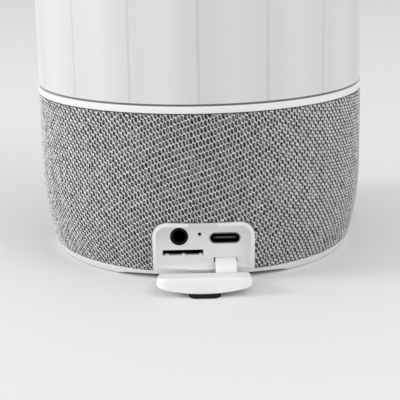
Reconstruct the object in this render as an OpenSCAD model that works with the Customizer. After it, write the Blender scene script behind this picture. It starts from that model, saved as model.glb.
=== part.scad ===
// Round bedside lamp with a speaker base: a knitted fabric sleeve, a port bay with
// a swing-down cover on a flexible strap, and a tall translucent shade above.
// Millimetres, Z up, origin on the table at the lamp's axis, port bay facing -Y.

/* [Body] */
// Height of the whole lamp
total_h = 182; // [150:1:230]
// Outer radius of the fabric above its taper
body_r = 50.6; // [48:0.1:56]
// Height of the fabric's lower edge above the table
fabric_low = 2.6; // [2.2:0.1:3.2]
// Height of the fabric's upper edge above the table
fabric_top = 49.5; // [48:0.1:60]
// Height below which the body draws in
taper_z = 25; // [22:0.5:32]
// Radius of the arc by which the body draws in
taper_arc = 78; // [66:1:120]

/* [Fabric] */
// Thickness of the knitted sleeve, ridges included
fabric_t = 0.9; // [0.8:0.05:1.3]
// Depth of the valleys between the knitted rows
ridge_depth = 0.32; // [0.1:0.02:0.4]
// Number of knitted rows met on one turn round the sleeve
knit_rows = 77; // [50:1:80]
// Climb of the knitted rows, in degrees from level
knit_climb = 23; // [19:0.5:40]

/* [Base] */
// Lean-in of the base ring between its top and its foot
ring_lean = 0.95; // [0.3:0.05:1.5]
// Height of the arches under the base ring
arch_h = 1.7; // [1:0.1:2]
// Half width of each arch, in degrees round the axis
arch_half = 35; // [20:1:45]
// Number of arches under the ring
arch_count = 3; // [2:1:4]
// Thickness of the bottom cover
cover_t = 1.5; // [1.2:0.1:1.7]
// Width of the rubber foot strips
foot_w = 4; // [3:0.5:5]
// Outer radius of the rubber foot strips
foot_outer_r = 39; // [34:0.5:39.5]
// How far the rubber lifts the base ring off the table
foot_lift = 0.15; // [0.1:0.05:0.3]
// Thickness of the perforated cage under the fabric
cage_t = 1.8; // [1.2:0.1:2.2]
// Radius of the cage's sound holes
sound_hole_r = 2.5; // [1:0.1:2.8]
// Sound holes in one row round the cage
holes_round = 24; // [12:1:24]
// Rows of sound holes
hole_rows = 5; // [2:1:5]
// Wall of the inner can
can_t = 1.8; // [1.2:0.1:2.4]

/* [Rim and seam] */
// Height of the white rim band
rim_h = 1.95; // [1.2:0.05:4]
// How far the rim band stands proud of the fabric
rim_proud = 0.15; // [0:0.05:0.6]
// Height of the dark seam above the rim band
seam_h = 0.65; // [0.4:0.05:2]
// How far the seam is set back from the shade
seam_setback = 0.6; // [0.3:0.05:1.2]
// Thickness of the deck between base and lamp
deck_t = 2.5; // [2:0.1:4]

/* [Lamp] */
// Step in from the body's radius to the shade's
shade_step = 0.25; // [0:0.05:1]
// Wall of the shade where it is thinnest
shade_wall = 1.45; // [1:0.05:2]
// Number of upright panels moulded inside the shade
shade_panels = 16; // [13:1:24]
// Radius of the shade's shoulder
shoulder_r = 14; // [8:0.5:20]
// Thickness of the shade's top
shade_top_t = 2.4; // [1.6:0.1:4]
// Radius of the touch cap
cap_r = 24; // [18:0.5:28]
// Height of the touch cap's dome above the shade
cap_dome = 3; // [1:0.1:5]
// Outer radius of the light post
post_r = 7; // [6:0.5:8]
// Wall of the light post
post_t = 1.8; // [1:0.1:2.5]
// Number of light emitters on the lamp board
lamp_count = 12; // [6:1:16]
// Radius at which the light emitters stand
lamp_ring_r = 30; // [20:1:32]

/* [Port panel] */
// Width of the port panel
panel_w = 29.4; // [27:0.1:32]
// Height of the panel's upper edge
panel_top = 18; // [17.6:0.1:20]
// Radius of the panel's upper corners
panel_corner = 4.6; // [3:0.1:5.5]
// Width of the panel's border
border_w = 1.05; // [0.8:0.05:1.3]
// How far the border stands proud of the fabric
panel_proud = 0.25; // [0.05:0.05:0.5]
// Depth of the bay below the body's full radius
port_depth = 5.3; // [5:0.1:5.6]
// Thickness of the port wall
port_wall = 1.2; // [1:0.1:1.6]
// Width of the nail notch in the upper border
notch_w = 8.4; // [6:0.1:11]
// Centre of the audio jack left of the middle
jack_x = 7; // [6.4:0.1:8]
// Height of the audio jack's centre
jack_z = 12.8; // [12.6:0.05:13]
// Radius of the audio jack's hole
jack_r = 1.8; // [1.75:0.01:1.9]
// Outer radius of the audio jack's ring
jack_ring_r = 2.6; // [2.3:0.05:2.7]
// Depth of the audio jack's hole
jack_depth = 11.5; // [10:0.5:13]
// Centre of the charging inlet right of the middle
usb_x = 6.2; // [6:0.1:6.8]
// Height of the charging inlet's centre
usb_z = 12.15; // [12.1:0.05:12.5]
// Outer width of the charging inlet
usb_w = 8.94; // [8.5:0.02:9.2]
// Outer height of the charging inlet
usb_h = 3.26; // [3:0.02:3.4]
// Wall of the charging inlet's shell
usb_wall = 0.3; // [0.2:0.02:0.4]
// Centre of the card slot left of the middle
card_x = 6; // [5.6:0.1:6.4]
// Height of the card slot's centre
card_z = 7.95; // [7.8:0.05:8.1]
// Width of the card slot
card_w = 11.8; // [11.2:0.1:12]
// Height of the card slot
card_h = 1.65; // [1.4:0.05:1.7]
// Radius of the pin hole in front of the status light
pin_r = 0.55; // [0.3:0.05:0.7]
// Centre of the pin hole left of the middle
pin_x = 1.1; // [0.6:0.1:1.5]
// Height of the pin hole
pin_z = 13.35; // [12.5:0.05:14]

/* [Port cover] */
// Gap between the cover and the bay
flap_gap = 0.2; // [0.15:0.05:0.35]
// Radius of the cover's inner long edges
flap_edge_r = 1.2; // [0.8:0.1:1.8]
// Angle through which the cover swings open
open_angle = 78; // [74:0.2:80]
// Distance of the open cover's back edge in front of the port wall
hang_out = 3.7; // [3.4:0.05:4]
// Height of the open cover's back edge
hang_z = 2.9; // [2.8:0.05:3.2]
// Width of the pull tab on the cover
tab_w = 8.9; // [6:0.1:12]
// How far the pull tab stands proud of the cover
tab_proud = 1.25; // [0.4:0.05:1.4]
// How far the pull tab reaches past the cover's edge
tab_reach = 0.4; // [0:0.05:0.5]
// Width of the flexible strap
strap_w = 6.1; // [4:0.1:6.4]
// Thickness of the flexible strap
strap_t = 1; // [0.8:0.05:1.1]
// Centre of the strap right of the middle
strap_x = 6.35; // [5.8:0.05:6.8]
// Height of the strap's centre where it leaves the wall
strap_z = 5.8; // [5.7:0.05:5.9]

/* [Speaker and power] */
// Outer radius of the speaker's flange
driver_r = 20.5; // [16:0.1:20.6]
// Radius of the speaker's magnet
magnet_r = 14; // [8:0.5:15]
// Thickness of the speaker's magnet
magnet_t = 10; // [6:0.5:11]
// Radius of the battery cell
cell_r = 9.2; // [7:0.1:9.3]
// Length of the battery cell
cell_len = 65.2; // [50:0.2:67]
// Radius of the bass radiator's opening
radiator_r = 15; // [10:0.5:15.5]
// Thickness of the circuit boards
board_t = 1.2; // [0.8:0.1:1.6]
// Radius of the screws' shanks
screw_r = 1.2; // [0.9:0.05:1.4]

/* [Hidden] */

// Small clearances: faces that slide past each other, and loose fits
slip = 0.05;
loose = 0.2;
// Facets of revolved pieces, of small rounds and of hulled slices
round_fn = 128;
small_fn = 48;
slice_fn = 32;

// Heights, from the table up
ring_top = fabric_low - 2 * slip;
foot_h = ring_top - cover_t;
foot_gap_w = 24;
can_floor_t = 1.5;
can_floor_top = ring_top + can_floor_t;
can_top = fabric_top - deck_t;
rim_top = fabric_top + rim_h;
shade_low = rim_top + seam_h;
shade_top = total_h - cap_dome;
taper_steps = 8;

// Radii, from the body's outside inwards
cage_r_inset = fabric_t + slip;
cage_inner_inset = cage_r_inset + cage_t;
shade_r = body_r - shade_step;
wall_y = body_r - port_depth;
wall_back_y = wall_y - port_wall;
can_r = wall_back_y - 1.1;
ring_inner_r = can_r + 2 * loose;
flange_r = can_r + 1.4;
deck_r = body_r - cage_inner_inset - 2 * loose;

// The port bay
panel_low = ring_top + 0.45;
bay_half = panel_w / 2 - border_w;
bay_top = panel_top - border_w;
bay_corner = panel_corner - border_w;
bay_floor = panel_low + 0.8;
lip_drop = 0.2;
edge_room = 0.75;
edge_share = 0.6;
notch_depth = 1.1;
nick_w = 0.9;
nick_h = 0.35;
nick_places = [-4.6, 0.1, 5.1];
port_cut_gap = 0.15;
rail_w = 0.9;
rail_h = 1.1;
rail_x = bay_half - rail_w / 2;

// The port board and what it carries
board_z = card_z + card_h / 2 + 0.5;
board_top_z = board_z + board_t;
board_half = rail_x + rail_w / 2 - 0.1;
board_back = 13.5;
board_setback = 1.1;

// The cover in its closed place, and the axis that carries it to the open one
flap_back_gap = 2 * flap_gap;
flap_half = bay_half - flap_gap;
flap_low = bay_floor + flap_gap;
flap_top = bay_top - flap_gap - 0.1;
shut_edge = [-(wall_y + flap_back_gap), flap_low];
open_edge = [-(wall_y + hang_out), hang_z];
edge_step = open_edge - shut_edge;
axis_reach = norm(edge_step) / 2 / tan(open_angle / 2);
axis_side = [-edge_step[1], edge_step[0]] / norm(edge_step);
flap_axis = (shut_edge + open_edge) / 2 + axis_side * axis_reach;
tab_h = 2;
tab_corner = 2.2;

// The strap's line in the side view, from the wall to the open cover's inner face
inner_way = [cos(90 + open_angle), sin(90 + open_angle)];
face_normal = [cos(open_angle), sin(open_angle)];
strap_foot = open_edge + inner_way * 1.2 + face_normal * slip;
strap_line = [
  [-wall_y, strap_z],
  [-(wall_y + 2.3), strap_z],
  strap_foot + face_normal * 2.1,
  strap_foot
];
strap_steps = 14;
anchor_t = 0.9;

// The speaker's axis
driver_z = (can_floor_top + can_top) / 2;
driver_seat_t = 3;
driver_pocket_r = driver_r + 2 * loose;
driver_hole_r = driver_r - 3;
driver_y = sqrt(pow(body_r - cage_inner_inset, 2) - pow(driver_r, 2)) - 3.8;
driver_flange_t = 1.5;
driver_screw_r = 0.7 * screw_r;
driver_screw_ring = driver_r - 1.6;
driver_head_r = driver_screw_r + 0.7;
basket_depth = 12.4;
cone_inner_r = 6.6;
coil_r = 6.3;
surround_w = 2.6;
surround_mid = driver_hole_r - 0.5 - surround_w / 2;

// Inner fittings: the cell lies as far from the speaker as the can's wall lets it
holder_half_x = cell_len / 2 + 1.4;
holder_half_y = cell_r + 0.4;
holder_room = 0.6;
cell_y = holder_half_y - sqrt(pow(can_r - can_t - holder_room, 2) - pow(holder_half_x, 2));
cell_z = can_floor_top + 1 + cell_r;
boss_r = 3;
cover_screw_ring = can_r - boss_r - 2;
post_gap_y = 2.1;
board_post_r = 2.2;
board_post_x = cover_screw_ring * cos(45) - boss_r - board_post_r - 0.8;
board_edge = 3;
main_board_z = cell_z + cell_r + 2.6;
radiator_y = 14;
deck_boss_ring = can_r - can_t - boss_r + 0.4;
screw_head_r = 2 * screw_r;
screw_head_t = 0.9;
lamp_standoff = 1.5;
lamp_board_z = fabric_top + lamp_standoff;
lamp_board_r = deck_boss_ring - screw_head_r - 0.6;
cap_flange_t = 3.4;
cap_flange_z = shade_top - shade_top_t - slip - cap_flange_t;
touch_board_z = cap_flange_z - 0.6 - board_t;
touch_board_r = cap_r - 6;
post_plate_t = 1.4;
post_plate_r = touch_board_r - 3;
post_foot_w = 1.5;
post_top = touch_board_z;

// Lengths of the screws below their heads
cover_screw_len = 4.5;
deck_screw_len = deck_t + 6;
board_screw_len = board_t + 4;
driver_screw_len = driver_flange_t + driver_seat_t;

// What stands on the main board and on the lamp board
controller_at = [-12, -4];
controller_size = [8, 8, 1];
amplifier_at = [6, -6];
amplifier_size = [5, 6, 1.2];
choke_at = [4, 5];
choke_r = 3;
choke_h = 5;
header_at = [-16, 6];
header_size = [9, 4, 3.4];
lamp_w = 3;
lamp_h = 1.4;

// Radius of the body at a height
function body_at(z) =
  z >= taper_z ? body_r
  : body_r - taper_arc + sqrt(taper_arc * taper_arc - (taper_z - z) * (taper_z - z));

// Heights between two levels, closer together where the body is curved
function levels(low, high) =
  let (bend = max(low, min(high, taper_z)))
  concat(
    low < bend ? [for (i = [0:taper_steps - 1]) low + (bend - low) * i / taper_steps] : [],
    bend < high ? [bend, high] : [high]
  );

function side(low, high, inset) = [for (z = levels(low, high)) [body_at(z) - inset, z]];

function backwards(points) = [for (i = [len(points) - 1:-1:0]) points[i]];

function curve_point(p, t) =
  pow(1 - t, 3) * p[0] + 3 * t * pow(1 - t, 2) * p[1]
  + 3 * t * t * (1 - t) * p[2] + pow(t, 3) * p[3];

function curve_way(p, t) =
  pow(1 - t, 2) * (p[1] - p[0]) + 2 * t * (1 - t) * (p[2] - p[1]) + t * t * (p[3] - p[2]);

// Solid of revolution that follows the body's outside, set in by inset
module body_solid(low, high, inset) {
  rotate_extrude($fn = round_fn)
    polygon(concat([[0, low]], side(low, high, inset), [[0, high]]));
}

// Wall of revolution that follows the body's outside
module body_wall(low, high, outer_inset, inner_inset) {
  rotate_extrude($fn = round_fn)
    polygon(concat(side(low, high, outer_inset), backwards(side(low, high, inner_inset))));
}

module ring(inner, outer, low, high) {
  rotate_extrude($fn = round_fn)
    translate([inner, low])
      square([outer - inner, high - low]);
}

// Copies on a circle round the lamp's axis
module around(count, radius, start = 0) {
  for (i = [0:count - 1])
    rotate([0, 0, start + i * 360 / count])
      translate([radius, 0, 0])
        children();
}

// Extrudes an outline drawn in X and Z away from the axis, from one depth to another
module outwards(from, to) {
  translate([0, -from, 0])
    rotate([90, 0, 0])
      linear_extrude(to - from)
        children();
}

// Extrudes a side view drawn in Y and Z across X
module across(from, to) {
  translate([from, 0, 0])
    rotate([90, 0, 90])
      linear_extrude(to - from)
        children();
}

// Points a piece that is drawn along Z along +Y, at the speaker's axis
module along_driver(y) {
  translate([0, y, driver_z])
    rotate([-90, 0, 0])
      children();
}

// Outline with square lower corners and round upper ones
module port_outline(half, low, top, corner) {
  translate([-half, low])
    square([2 * half, top - corner - low]);
  translate([-(half - corner), low])
    square([2 * (half - corner), top - low]);
  for (s = [-1, 1])
    translate([s * (half - corner), top - corner])
      circle(corner, $fn = small_fn);
}

// Thin slice of a port outline, for hulls that round the way from one depth to the next
module port_slice(y, half, low, top, corner) {
  translate([0, -y, 0])
    rotate([90, 0, 0])
      linear_extrude(0.01)
        hull() {
          translate([-half, low])
            square([2 * half, 0.1]);
          for (s = [-1, 1])
            translate([s * (half - corner), top - corner])
              circle(corner, $fn = slice_fn);
        }
}

// A block whose sides and lower edge are rounded into its flat inner face
module eased_block(y, out, half, low, top, corner, edge) {
  hull() {
    for (a = [0:22.5:90])
      let (inset = edge * (1 - sin(a)), depth = edge * (1 - cos(a)))
        port_slice(
          y + depth, half - inset, low + inset * edge_share, top - inset * 0.2,
          max(1, corner - inset * 0.6)
        );
    port_slice(y + out, half, low, top, corner);
  }
}

module screw(length) {
  cylinder(r = screw_head_r, h = screw_head_t, $fn = small_fn);
  translate([0, 0, -length])
    cylinder(r = screw_r, h = length, $fn = small_fn);
}

// Base ring: the white foot of the lamp, arched between its three feet
module arch_profile() {
  half = (body_at(0) - ring_lean) * sin(arch_half);
  polygon(concat(
    [[-half, -1]],
    [for (t = [-1:0.125:1]) [half * t, arch_h * pow(1 - pow(abs(t), 2.6), 0.5)]],
    [[half, -1]]
  ));
}

module base_ring() {
  color("white")
    difference() {
      union() {
        rotate_extrude($fn = round_fn)
          polygon([
            [ring_inner_r, foot_lift],
            [body_at(ring_top) - ring_lean - 0.3, foot_lift],
            [body_at(ring_top) - ring_lean, foot_lift + 0.3],
            [body_at(ring_top) - 0.1, ring_top - 0.2],
            [body_at(ring_top) - 0.3, ring_top],
            [ring_inner_r, ring_top]
          ]);
        intersection() {
          body_wall(ring_top - 0.5, panel_low - slip, 0, body_at(ring_top) - flange_r - loose);
          outwards(can_r, body_r + 5)
            translate([-panel_w / 2, 0])
              square([panel_w, panel_top]);
        }
      }
      for (i = [0:arch_count - 1])
        rotate([0, 0, i * 360 / arch_count])
          outwards(can_r * 0.5, body_r + 5)
            arch_profile();
      ring(foot_outer_r - foot_w - slip, foot_outer_r + slip, -1, foot_h + slip);
    }
}

module bottom_cover() {
  color("whitesmoke")
    difference() {
      translate([0, 0, foot_h])
        cylinder(r = can_r, h = cover_t, $fn = round_fn);
      translate([0, radiator_y, foot_h - 1])
        cylinder(r = radiator_r + slip, h = cover_t + 2, $fn = round_fn);
      around(4, cover_screw_ring, 45) {
        translate([0, 0, foot_h - 1])
          cylinder(r = screw_r + slip, h = cover_t + 2, $fn = small_fn);
        translate([0, 0, foot_h - 1])
          cylinder(r = screw_head_r + slip, h = screw_head_t + 1, $fn = small_fn);
      }
    }
}

module foot_strips() {
  color("dimgray")
    difference() {
      ring(foot_outer_r - foot_w, foot_outer_r, 0, foot_h);
      for (a = [30, 150])
        rotate([0, 0, a])
          translate([foot_outer_r / 2, -foot_gap_w / 2, -1])
            cube([foot_outer_r, foot_gap_w, foot_h + 2]);
    }
}

module cover_screws() {
  color("silver")
    around(4, cover_screw_ring, 45)
      translate([0, 0, foot_h + screw_head_t])
        rotate([180, 0, 0])
          screw(cover_screw_len);
}

// Bass radiator in the bottom cover: a rubber roll that carries a stiff plate
module radiator_surround() {
  color("dimgray")
    translate([0, radiator_y, foot_h])
      rotate_extrude($fn = round_fn) {
        translate([radiator_r - 4, 0.4])
          square([4, 0.6]);
        intersection() {
          translate([radiator_r - 2, 0.7])
            circle(1, $fn = small_fn);
          translate([radiator_r - 4, 0.7])
            square([4, 2]);
        }
      }
}

module radiator_plate() {
  color("gray")
    translate([0, radiator_y, foot_h + 0.2])
      cylinder(r = radiator_r - 4 - slip, h = 1.1, $fn = round_fn);
}

// Inner can: closed chamber for the speaker, with bosses for both covers
module inner_can() {
  color("gainsboro")
    difference() {
      union() {
        translate([0, 0, ring_top])
          cylinder(r = flange_r, h = can_floor_t, $fn = round_fn);
        difference() {
          translate([0, 0, ring_top])
            cylinder(r = can_r, h = can_top - ring_top, $fn = round_fn);
          translate([0, 0, can_floor_top])
            cylinder(r = can_r - can_t, h = can_top, $fn = round_fn);
        }
        intersection() {
          along_driver(driver_y - driver_seat_t)
            cylinder(r = driver_pocket_r + can_t, h = body_r, $fn = round_fn);
          body_solid(ring_top, can_top, cage_inner_inset + 2 * loose);
        }
        around(4, cover_screw_ring, 45)
          translate([0, 0, can_floor_top - 0.5])
            cylinder(r = boss_r, h = 4, $fn = small_fn);
        around(4, deck_boss_ring, 45)
          rotate([0, 0, 180])
            translate([0, 0, can_top - 9])
              cylinder(r = boss_r, h = 9, $fn = small_fn);
      }
      along_driver(can_r * 0.5)
        cylinder(r = driver_hole_r, h = body_r, $fn = round_fn);
      along_driver(driver_y)
        cylinder(r = driver_pocket_r, h = body_r, $fn = round_fn);
      along_driver(driver_y - driver_seat_t - 1)
        around(4, driver_screw_ring, 45)
          cylinder(r = driver_screw_r + slip, h = driver_seat_t + 2, $fn = small_fn);
      translate([0, radiator_y, 0])
        cylinder(r = radiator_r, h = can_floor_top + 0.5, $fn = round_fn);
      around(4, cover_screw_ring, 45)
        cylinder(r = screw_r + slip, h = can_floor_top + 3, $fn = small_fn);
      around(4, deck_boss_ring, 45)
        translate([0, 0, can_top - 7])
          cylinder(r = screw_r + slip, h = 8, $fn = small_fn);
      outwards(can_r * 0.7, body_r)
        translate([-(rail_x + rail_w / 2 + loose), panel_low - slip])
          square([2 * (rail_x + rail_w / 2 + loose), panel_top - panel_low]);
    }
}

// Grille cage: the perforated drum that the fabric is stretched over
module sound_holes() {
  first = panel_top + 4.2;
  pitch = (fabric_top - 5 - first) / (hole_rows - 1);
  for (row = [0:hole_rows - 1])
    for (i = [0:holes_round - 1])
      rotate([0, 0, (i + (row % 2) / 2) * 360 / holes_round])
        translate([body_r - cage_inner_inset - 3, 0, first + row * pitch])
          rotate([0, 90, 0])
            cylinder(r = sound_hole_r, h = cage_t + 6, $fn = 24);
}

module port_cut(gap) {
  outwards(can_r - 2, body_r + 5)
    port_outline(panel_w / 2 + gap, 0, panel_top + gap, panel_corner + gap);
}

module grille_cage() {
  color("gray")
    difference() {
      body_wall(ring_top, fabric_top, cage_r_inset, cage_inner_inset);
      sound_holes();
      port_cut(port_cut_gap);
    }
}

// Fabric sleeve: slanting knitted rows as ridges on a thin stretched tube
knit_rise = 1 / tan(knit_climb) / body_r * 180 / PI;
knit_turn = round(knit_rise * (fabric_top - fabric_low) * knit_rows * 2 / 360);
knit_levels = 16;

module knitted_tube(low, high) {
  n = knit_rows * 2;
  inner = levels(low, high);
  outer = [for (i = [0:knit_levels]) low + (high - low) * i / knit_levels];
  m = len(inner);
  outer_points = [
    for (i = [0:knit_levels], j = [0:n - 1])
      let (a = (j + knit_turn * i / knit_levels) * 360 / n)
      let (r = body_at(outer[i]) - (j % 2) * ridge_depth)
      [r * cos(a), r * sin(a), outer[i]]
  ];
  inner_points = [
    for (z = inner, j = [0:n - 1])
      let (a = j * 360 / n, r = body_at(z) - fabric_t)
      [r * cos(a), r * sin(a), z]
  ];
  base = len(outer_points);
  last = base + (m - 1) * n;
  polyhedron(
    points = concat(outer_points, inner_points),
    faces = concat(
      [
        for (i = [0:knit_levels - 1], j = [0:n - 1], half = [0, 1])
          let (k = (j + 1) % n)
          half == 0 ? [i * n + j, (i + 1) * n + j, (i + 1) * n + k]
          : [i * n + j, (i + 1) * n + k, i * n + k]
      ],
      [
        for (i = [0:m - 2], j = [0:n - 1], half = [0, 1])
          let (k = (j + 1) % n, p = base + i * n, q = p + n)
          half == 0 ? [p + j, q + k, q + j] : [p + j, p + k, q + k]
      ],
      [
        for (j = [0:n - 1], half = [0, 1])
          let (k = (j + 1) % n)
          half == 0 ? [j, k, base + k] : [j, base + k, base + j]
      ],
      [
        for (j = [0:n - 1], half = [0, 1])
          let (k = (j + 1) % n, p = knit_levels * n)
          let (a = last + (j + knit_turn) % n, b = last + (k + knit_turn) % n)
          half == 0 ? [p + j, a, b] : [p + j, b, p + k]
      ]
    )
  );
}

module fabric_sleeve() {
  color("darkgray")
    difference() {
      knitted_tube(fabric_low, fabric_top - slip);
      port_cut(port_cut_gap);
    }
}

module rim_band() {
  color("white")
    rotate_extrude($fn = round_fn)
      polygon([
        [deck_r - 3, fabric_top],
        [body_r + rim_proud - 0.2, fabric_top],
        [body_r + rim_proud, fabric_top + 0.2],
        [body_r + rim_proud, rim_top - 0.3],
        [body_r + rim_proud - 0.3, rim_top],
        [deck_r - 3, rim_top]
      ]);
}

module seam_gasket() {
  color("dimgray")
    ring(deck_r - 2.4, shade_r - seam_setback, rim_top, shade_low);
}

module deck_plate() {
  color("gainsboro")
    difference() {
      union() {
        translate([0, 0, can_top])
          cylinder(r = deck_r, h = deck_t, $fn = round_fn);
        around(3, lamp_ring_r - 7, 90)
          translate([0, 0, fabric_top - 0.5])
            cylinder(r = 2.5, h = lamp_standoff + 0.5, $fn = small_fn);
      }
      translate([0, 0, can_top - 1])
        cylinder(r = post_r - post_t, h = deck_t + 2, $fn = small_fn);
      around(4, deck_boss_ring, 45)
        translate([0, 0, can_top - 1])
          cylinder(r = screw_r + slip, h = deck_t + 2, $fn = small_fn);
    }
}

module deck_screws() {
  color("silver")
    around(4, deck_boss_ring, 45)
      translate([0, 0, fabric_top])
        screw(deck_screw_len);
}

// Port panel: a moulded bay with its border on the body's curve
module bay_pocket() {
  eased_block(
    wall_y, port_depth + 4, bay_half, bay_floor, bay_top, bay_corner, flap_edge_r + edge_room
  );
  across(-bay_half, bay_half)
    polygon([
      [-(wall_y + flap_edge_r + edge_room), bay_floor + 0.5],
      [-(wall_y + flap_edge_r + edge_room), bay_floor],
      [-(wall_y + 2.4), bay_floor - lip_drop],
      [-(wall_y + 10), bay_floor - lip_drop],
      [-(wall_y + 10), bay_floor + 0.5]
    ]);
}

module nail_notch() {
  across(-notch_w / 2, notch_w / 2)
    polygon([
      [-(body_at(bay_top) - notch_depth), bay_top - 0.5],
      [-(body_at(bay_top) - notch_depth), bay_top],
      [-body_at(panel_top), panel_top + 0.1],
      [-(body_r + 3), panel_top + 0.1],
      [-(body_r + 3), bay_top - 0.5]
    ]);
}

module card_outline() {
  difference() {
    translate([-(card_x + card_w / 2), card_z - card_h / 2])
      square([card_w, card_h]);
    for (x = nick_places)
      translate([x - card_x - nick_w / 2, card_z - card_h / 2 - nick_h])
        square([nick_w, 2 * nick_h]);
  }
}

module usb_outline(grow) {
  half = usb_w / 2 - usb_h / 2;
  translate([usb_x - half, usb_z - usb_h / 2 - grow])
    square([2 * half, usb_h + 2 * grow]);
  for (s = [-1, 1])
    translate([usb_x + s * half, usb_z])
      circle(usb_h / 2 + grow, $fn = small_fn);
}

module port_panel() {
  color("white") {
    difference() {
      intersection() {
        outwards(wall_back_y, body_r + 5)
          port_outline(panel_w / 2, panel_low, panel_top, panel_corner);
        body_solid(panel_low - 1, panel_top + 1, -panel_proud);
      }
      bay_pocket();
      nail_notch();
      outwards(wall_back_y - 1, wall_y + 1) {
        translate([-jack_x, jack_z])
          circle(jack_ring_r + slip, $fn = small_fn);
        translate([-pin_x, pin_z])
          circle(pin_r, $fn = small_fn);
        usb_outline(slip);
        card_outline();
        translate([strap_x - strap_w / 2 - 2 * loose, strap_z - strap_t / 2 - 2 * loose])
          square([strap_w + 3 * loose, strap_t + 2 * loose + slip]);
      }
    }
    for (s = [-1, 1])
      translate([s * rail_x - rail_w / 2, -wall_back_y - 0.1, board_z - rail_h])
        cube([rail_w, board_back - 3, rail_h]);
  }
}

// Cover of the port bay, drawn shut and swung open about the strap's bending line
module swung_open() {
  translate([0, flap_axis[0], flap_axis[1]])
    rotate([open_angle, 0, 0])
      translate([0, -flap_axis[0], -flap_axis[1]])
        children();
}

module flap_cover() {
  color("white")
    swung_open()
      intersection() {
        eased_block(
          wall_y + flap_back_gap, port_depth + 3, flap_half, flap_low, flap_top,
          bay_corner - flap_gap, flap_edge_r
        );
        body_solid(flap_low - 1, flap_top + 1, 0);
      }
}

// Dark tab on the cover's outer face: below the nail notch when the cover is shut,
// and the flat-bottomed foot of the cover when it lies open
module pull_tab() {
  color("dimgray")
    difference() {
      swung_open()
        difference() {
          intersection() {
            body_solid(flap_top - tab_h, flap_top + 1, -tab_proud);
            outwards(wall_y + 2, body_r + 5)
              port_outline(tab_w / 2, 0, flap_top + tab_reach, tab_corner);
          }
          body_solid(flap_low - 1, flap_top + 1, 0);
        }
      translate([-tab_w, -2 * body_r, slip - 5])
        cube([2 * tab_w, 2 * body_r, 5]);
    }
}

module strap_profile() {
  sides = [
    for (s = [-1, 1])
      [
        for (i = [0:strap_steps])
          let (t = i / strap_steps, w = curve_way(strap_line, t))
          curve_point(strap_line, t) + s * strap_t / 2 * [-w[1], w[0]] / norm(w)
      ]
  ];
  polygon(concat(sides[0], backwards(sides[1])));
  translate([-wall_y - slip, strap_z - strap_t / 2])
    square([port_wall + loose + anchor_t, strap_t]);
}

module flap_strap() {
  color("white") {
    across(strap_x - strap_w / 2, strap_x + strap_w / 2)
      strap_profile();
    translate([strap_x - strap_w / 2 - 0.8, -wall_back_y + loose, strap_z - strap_t])
      cube([strap_w + 1.6, anchor_t, 2 * strap_t]);
  }
}

// The board behind the ports and what it carries
module port_board() {
  color("seagreen")
    translate([-board_half, -wall_back_y + board_setback, board_z])
      cube([2 * board_half, board_back - board_setback, board_t]);
}

module audio_jack() {
  color("black")
    difference() {
      union() {
        outwards(wall_back_y - 1, wall_y)
          translate([-jack_x, jack_z])
            circle(jack_ring_r, $fn = small_fn);
        translate([-(jack_x + jack_ring_r + 0.4), -wall_back_y + slip, board_top_z])
          cube([2 * jack_ring_r + 0.8, jack_depth + 0.5, jack_z - board_top_z + jack_ring_r]);
      }
      outwards(wall_y - jack_depth, wall_y + 1)
        translate([-jack_x, jack_z])
          circle(jack_r, $fn = small_fn);
    }
}

module usb_housing() {
  color("silver") {
    difference() {
      outwards(wall_y - 7.3, wall_y)
        usb_outline(0);
      outwards(wall_y - 7, wall_y + 1)
        usb_outline(-usb_wall);
    }
    for (s = [-1, 1])
      translate([usb_x + s * 2.4 - 0.4, -wall_back_y + 0.6, board_top_z])
        cube([0.8, 4, usb_z - usb_h / 2 - board_top_z + 0.1]);
  }
}

module usb_tongue() {
  color("dimgray")
    outwards(wall_y - 7, wall_y - 0.7)
      translate([usb_x - 3.35, usb_z - 0.35])
        square([6.7, 0.7]);
}

module card_socket() {
  color("silver")
    difference() {
      translate([-(card_x + card_w / 2 + 0.5), -wall_back_y + slip, card_z - card_h / 2 - 0.4])
        cube([card_w + 1, board_back, board_z - card_z + card_h / 2 + 0.4]);
      outwards(wall_back_y - board_back + 1, wall_y)
        translate([-(card_x + card_w / 2 - 0.2), card_z - card_h / 2 + 0.2])
          square([card_w - 0.4, card_h - 0.4]);
    }
}

module status_led() {
  color("lightyellow")
    translate([-(pin_x + 0.8), -wall_back_y + board_setback, board_top_z])
      cube([1.6, 1.2, pin_z - board_top_z + 0.8]);
}

// Battery, main board and their carrier
module board_posts(radius, low, high) {
  for (x = [-1, 1])
    for (y = [-1, 1])
      translate([x * board_post_x, cell_y + y * (holder_half_y + post_gap_y), low])
        cylinder(r = radius, h = high - low, $fn = small_fn);
}

module battery_holder() {
  color("gray")
    difference() {
      union() {
        translate([-holder_half_x, cell_y - holder_half_y, can_floor_top])
          cube([2 * holder_half_x, 2 * holder_half_y, cell_r * 0.8]);
        board_posts(board_post_r, can_floor_top, main_board_z);
      }
      translate([-(cell_len / 2 + 0.1), cell_y, cell_z])
        rotate([0, 90, 0])
          cylinder(r = cell_r + slip, h = cell_len + 0.2, $fn = round_fn);
      board_posts(screw_r + slip, main_board_z - 6, main_board_z + 1);
    }
}

module battery_cell() {
  color("steelblue")
    translate([-cell_len / 2, cell_y, cell_z])
      rotate([0, 90, 0]) {
        cylinder(r = cell_r, h = cell_len - 1.2, $fn = round_fn);
        cylinder(r = 2.8, h = cell_len, $fn = small_fn);
      }
}

module main_board() {
  half_y = holder_half_y + post_gap_y + board_edge;
  color("seagreen")
    difference() {
      translate([-(board_post_x + board_edge), cell_y - half_y, main_board_z])
        cube([2 * (board_post_x + board_edge), 2 * half_y, board_t]);
      board_posts(screw_r + slip, main_board_z - 1, main_board_z + board_t + 1);
    }
}

module on_board(place) {
  translate([place[0], cell_y + place[1], main_board_z + board_t])
    children();
}

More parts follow.
